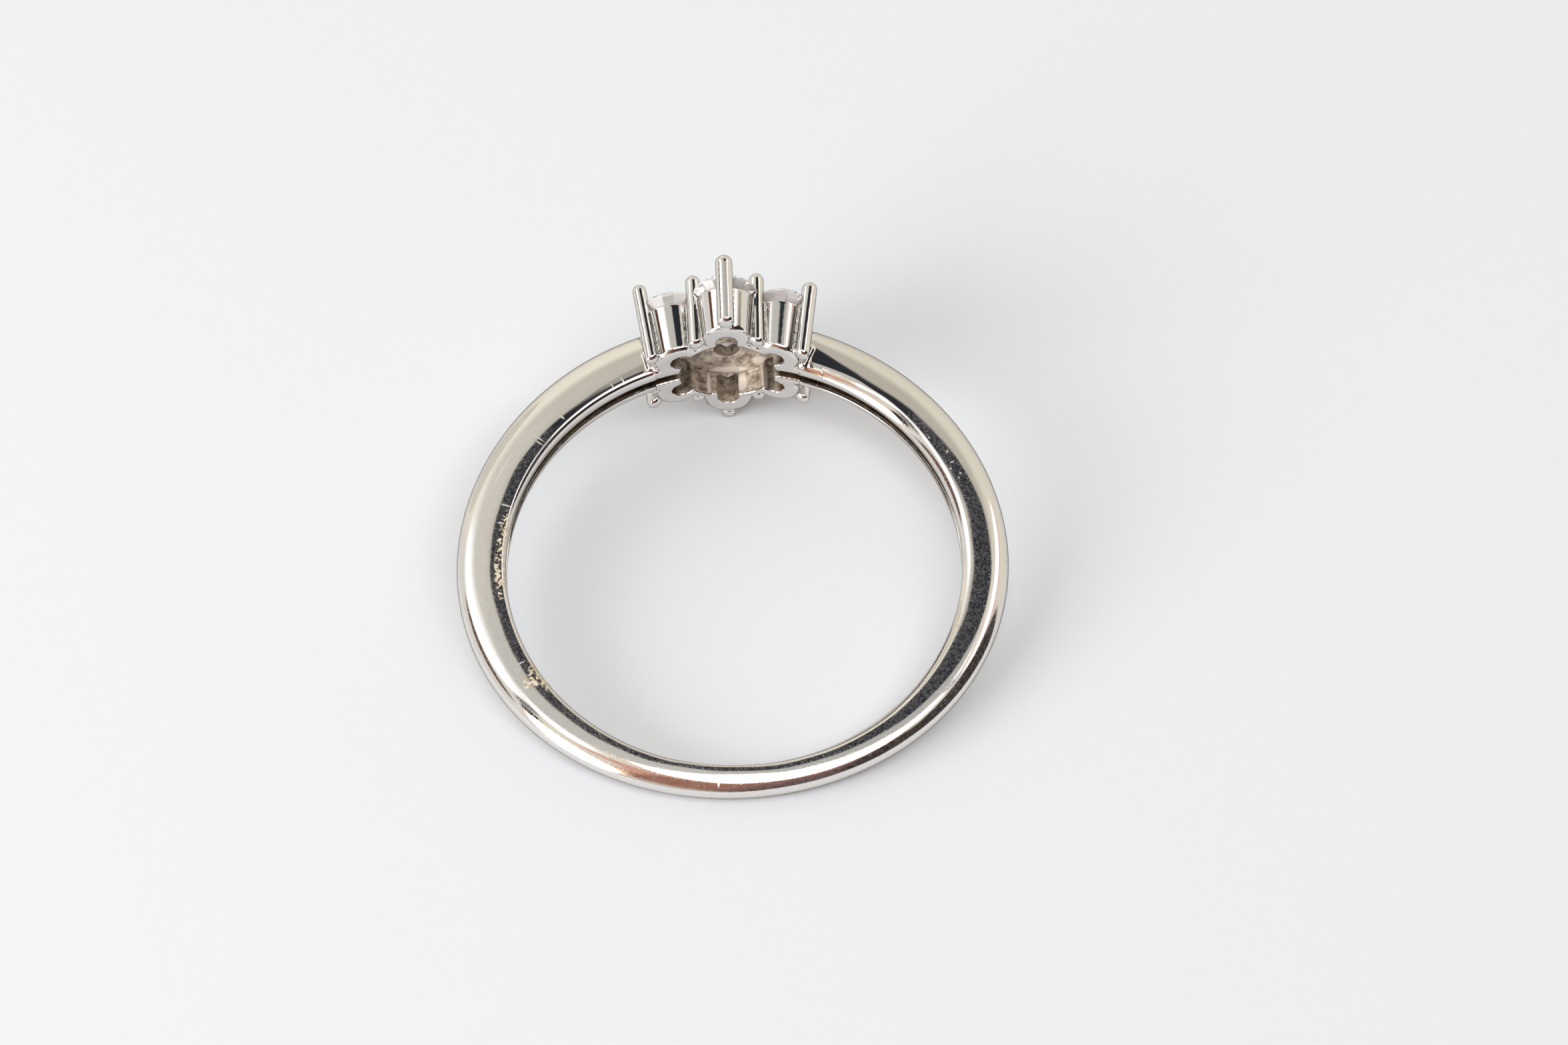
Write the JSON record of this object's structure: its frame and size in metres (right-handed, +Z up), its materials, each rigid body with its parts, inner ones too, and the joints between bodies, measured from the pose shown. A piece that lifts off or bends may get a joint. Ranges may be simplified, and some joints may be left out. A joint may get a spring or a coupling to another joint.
{
  "type": "cluster finger ring",
  "caption": "Slim white-metal finger ring with a petal cluster of round clear stones in prongs, lying on its side at rest.",
  "frame": {"origin": "under the middle of the ring's box, on the surface that it lies on", "axes": "+Z up, +Y from the back of the shank to the head, +X across the finger hole"},
  "size_m": [0.0208, 0.0216, 0.0081],
  "materials": {
    "silver": "rhodium-plated silver, mirror polish",
    "stone": "clear cubic zirconia, brilliant cut"
  },
  "bodies": {
    "root": {"shank_and_setting": "silver", "centre_stone": "stone", "petal_stone_1": "stone", "petal_stone_2": "stone", "petal_stone_3": "stone", "petal_stone_4": "stone", "petal_stone_5": "stone", "petal_stone_6": "stone"}
  },
  "joints": []
}
